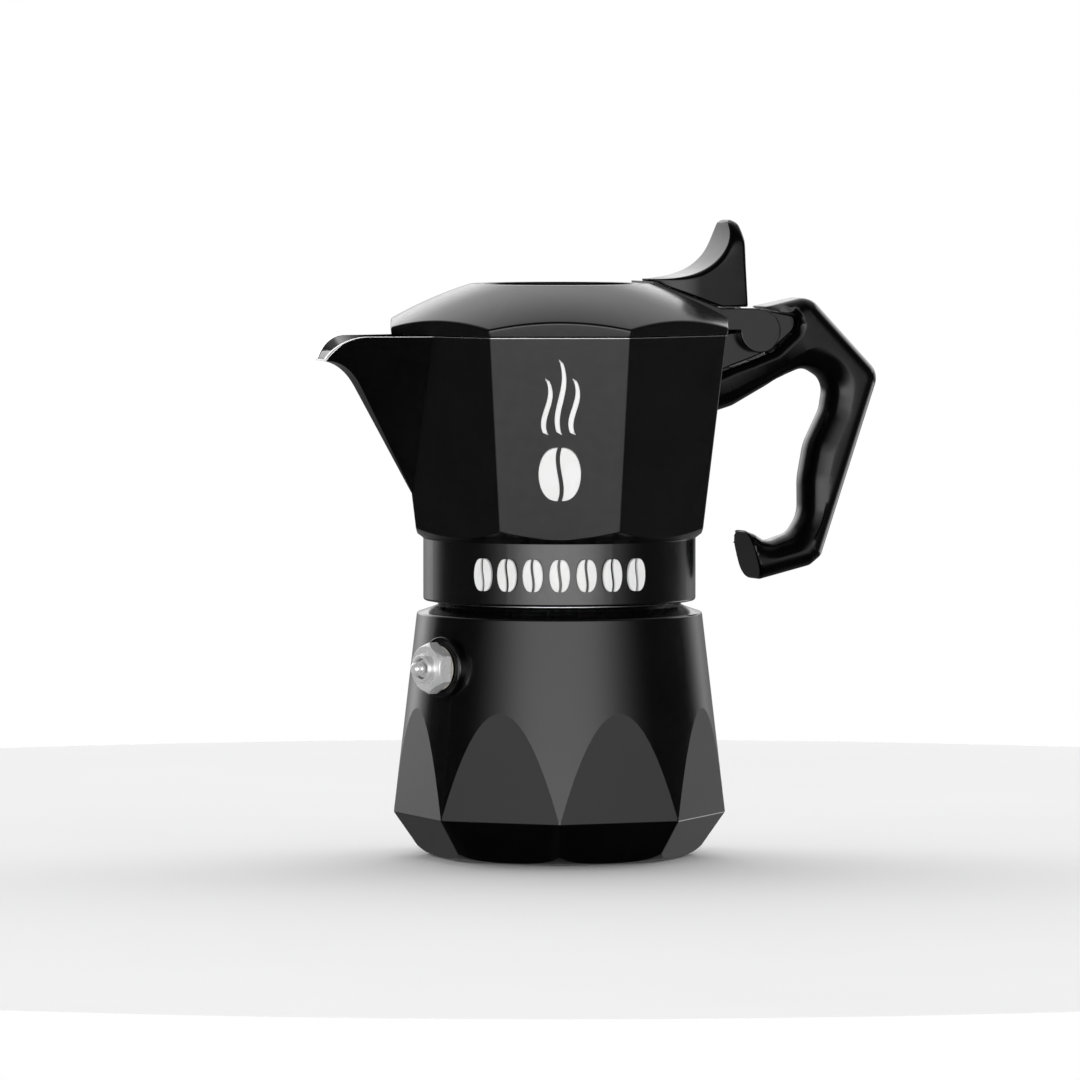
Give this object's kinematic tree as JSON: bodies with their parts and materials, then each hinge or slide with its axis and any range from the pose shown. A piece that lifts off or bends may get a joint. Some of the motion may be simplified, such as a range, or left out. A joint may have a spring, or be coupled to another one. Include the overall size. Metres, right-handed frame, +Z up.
{
  "type": "moka pot",
  "caption": "Eight-sided stove-top moka pot with a screw-on boiler, spouted collector, hinged lid with a thumb lever, and an open hooked handle.",
  "frame": {"origin": "middle of the boiler's flat base", "axes": "+Z up along the pot's axis, +X from the axis towards the handle, -X towards the spout"},
  "size_m": [0.1596, 0.0974, 0.1704],
  "materials": {
    "black_paint": "gloss",
    "black_plastic": "gloss",
    "bare_aluminium": "satin",
    "bright_steel": "polished",
    "seal_rubber": "matte",
    "white_enamel": "satin"
  },
  "bodies": {
    "boiler": {"boiler": "black_paint", "valve_body": "bright_steel", "valve_washer": "seal_rubber", "valve_retainer": "bright_steel", "valve_spring": "bright_steel"},
    "valve_piston": {"valve_piston": "bright_steel"},
    "funnel": {"funnel_basket": "bare_aluminium", "funnel_stem": "bare_aluminium", "funnel_strainer": "bare_aluminium"},
    "gasket": {"gasket": "seal_rubber"},
    "filter_plate": {"filter_plate": "bare_aluminium"},
    "collector": {"collector": "black_paint", "column": "bare_aluminium", "handle": "black_plastic", "handle_screw": "bright_steel", "hinge_pin": "bright_steel", "emblem": "white_enamel", "band_ornament": "white_enamel"},
    "lid": {"lid": "black_paint", "lid_top_disc": "black_paint", "lid_bracket": "black_paint", "thumb_lever": "black_plastic", "lid_screw_front": "bright_steel", "lid_screw_rear": "bright_steel"}
  },
  "joints": [
    {"name": "valve_lift", "type": "slide", "parent": "boiler", "child": "valve_piston", "axis": [-0.9537, -0.3007, 0], "range_m": [0, 0.0015], "stiffness_N_per_m": 1200, "springref_m": -0.002, "deforming": ["valve_spring"]},
    {"name": "funnel_lift", "type": "slide", "parent": "boiler", "child": "funnel", "axis": [0, 0, 1], "range_m": [0, 0.08]},
    {"name": "seal_lift", "type": "slide", "parent": "funnel", "child": "gasket", "axis": [0, 0, 1], "range_m": [0, 0.06]},
    {"name": "thread_rise", "type": "slide", "parent": "gasket", "child": "filter_plate", "axis": [0, 0, 1], "range_m": [0, 0.0046]},
    {"name": "collector_twist", "type": "hinge", "parent": "filter_plate", "child": "collector", "pos_m": [0, 0, 0.08], "axis": [0, 0, 1], "range_deg": [0, 540]},
    {"name": "lid_hinge", "type": "hinge", "parent": "collector", "child": "lid", "pos_m": [0.0555, 0, 0.1402], "axis": [0, 1, 0], "range_deg": [0, 55]}
  ],
  "couplings": [
    {"joint": "thread_rise", "follows": "collector_twist", "m_per_rad": 0.00047746}
  ]
}
